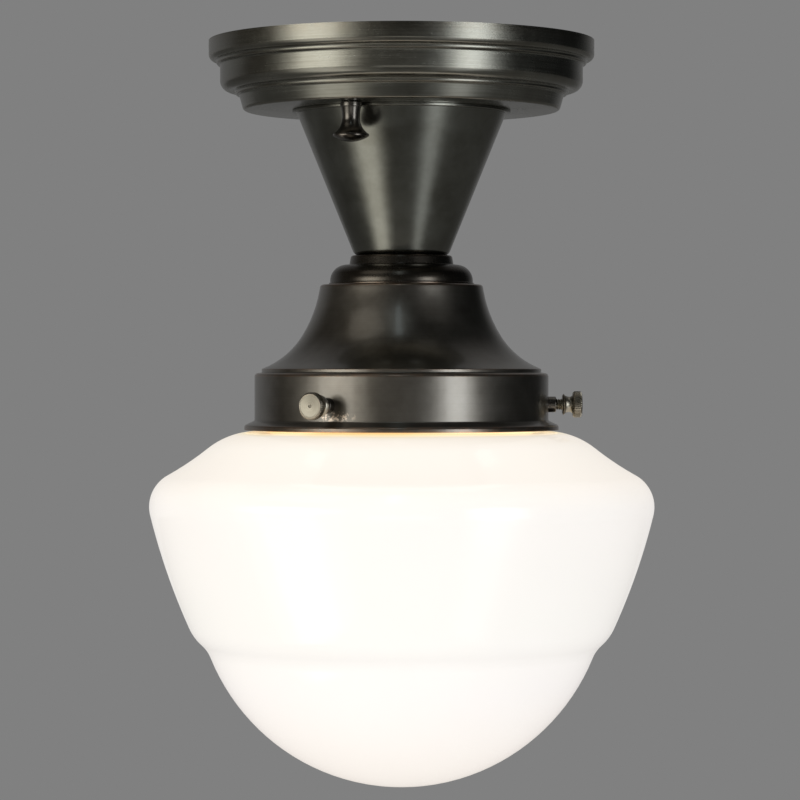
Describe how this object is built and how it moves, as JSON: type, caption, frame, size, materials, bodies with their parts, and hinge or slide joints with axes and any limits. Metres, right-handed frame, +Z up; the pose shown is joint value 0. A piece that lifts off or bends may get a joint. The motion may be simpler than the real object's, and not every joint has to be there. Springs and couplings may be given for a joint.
{
  "type": "semi flush ceiling light",
  "caption": "Semi flush ceiling light: stepped bronze canopy, cone neck and bell-shaped holder with thumbscrews carrying an opal schoolhouse glass globe over a bulb.",
  "frame": {"origin": "centre of the ceiling plane, where the bracket's slots and the canopy's rim meet the ceiling", "axes": "+Z up into the ceiling; the two canopy knobs lie on the Y axis, the ceiling box slots on the X axis"},
  "size_m": [0.1832, 0.1832, 0.2701],
  "materials": {
    "bronze_satin": "dark bronze, satin, fine spun lines",
    "bronze_gloss": "dark bronze, semi gloss",
    "bronze_turned": "dark bronze over turned brass, worn on edges",
    "zinc_steel": "zinc plated",
    "green_steel": "green dyed zinc",
    "brass": "bright",
    "porcelain": "glazed white",
    "black_insulation": "satin",
    "white_insulation": "satin",
    "green_insulation": "satin",
    "orange_plastic": "moulded",
    "green_plastic": "moulded",
    "opal_glass": "cased opal white, glossy, lit from inside",
    "bulb_glass": "clear, thin",
    "bulb_metal": "rolled",
    "dark_glass": "dark vitrite",
    "solder": "dull solder",
    "tungsten": "dark wire"
  },
  "bodies": {
    "fixture": {"canopy": "bronze_satin", "mounting_bracket": "zinc_steel", "canopy_screws": "zinc_steel", "canopy_screw_nuts": "zinc_steel", "ground_screw": "green_steel", "cone_neck": "bronze_satin", "holder_cap": "bronze_gloss", "shade_holder": "bronze_gloss", "thumbscrew_bosses": "bronze_turned", "threaded_pipe": "zinc_steel", "canopy_washer": "zinc_steel", "canopy_nut": "brass", "holder_washer": "zinc_steel", "holder_nut": "brass", "lampholder_strap": "zinc_steel", "lampholder_screws": "zinc_steel", "lampholder_body": "porcelain", "screw_shell": "brass", "centre_contact": "brass", "contact_rivet": "brass", "live_lead": "black_insulation", "neutral_lead": "white_insulation", "ground_lead": "green_insulation", "live_connector": "orange_plastic", "neutral_connector": "orange_plastic", "ground_connector": "green_plastic"},
    "knob_front": {"canopy_knob_front": "bronze_turned"},
    "knob_rear": {"canopy_knob_rear": "bronze_turned"},
    "screw_front": {"thumbscrew_front": "bronze_turned"},
    "screw_right": {"thumbscrew_right": "bronze_turned"},
    "screw_rear": {"thumbscrew_rear": "bronze_turned"},
    "globe": {"glass_globe": "opal_glass"},
    "bulb": {"bulb_envelope": "bulb_glass", "bulb_base": "bulb_metal", "bulb_insulator": "dark_glass", "bulb_tip_contact": "solder", "bulb_stem": "bulb_glass", "bulb_filament": "tungsten", "filament_supports": "tungsten"}
  },
  "joints": [
    {"name": "knob_front_unscrew", "type": "slide", "parent": "fixture", "child": "knob_front", "axis": [0, 0, -1], "range_m": [0, 0.009]},
    {"name": "knob_rear_unscrew", "type": "slide", "parent": "fixture", "child": "knob_rear", "axis": [0, 0, -1], "range_m": [0, 0.009]},
    {"name": "thumbscrew_front_unscrew", "type": "slide", "parent": "fixture", "child": "screw_front", "axis": [-0.1132, -0.9936, 0], "range_m": [0, 0.0042]},
    {"name": "thumbscrew_right_unscrew", "type": "slide", "parent": "fixture", "child": "screw_right", "axis": [0.9171, 0.3987, 0], "range_m": [0, 0.0042]},
    {"name": "thumbscrew_rear_unscrew", "type": "slide", "parent": "fixture", "child": "screw_rear", "axis": [-0.8039, 0.5948, 0], "range_m": [0, 0.0042]},
    {"name": "globe_turn", "type": "hinge", "parent": "fixture", "child": "globe", "pos_m": [0, 0, -0.135], "axis": [0, 0, 1], "continuous": true},
    {"name": "bulb_unscrew", "type": "slide", "parent": "fixture", "child": "bulb", "axis": [0, 0, -1], "range_m": [0, 0.018]}
  ]
}
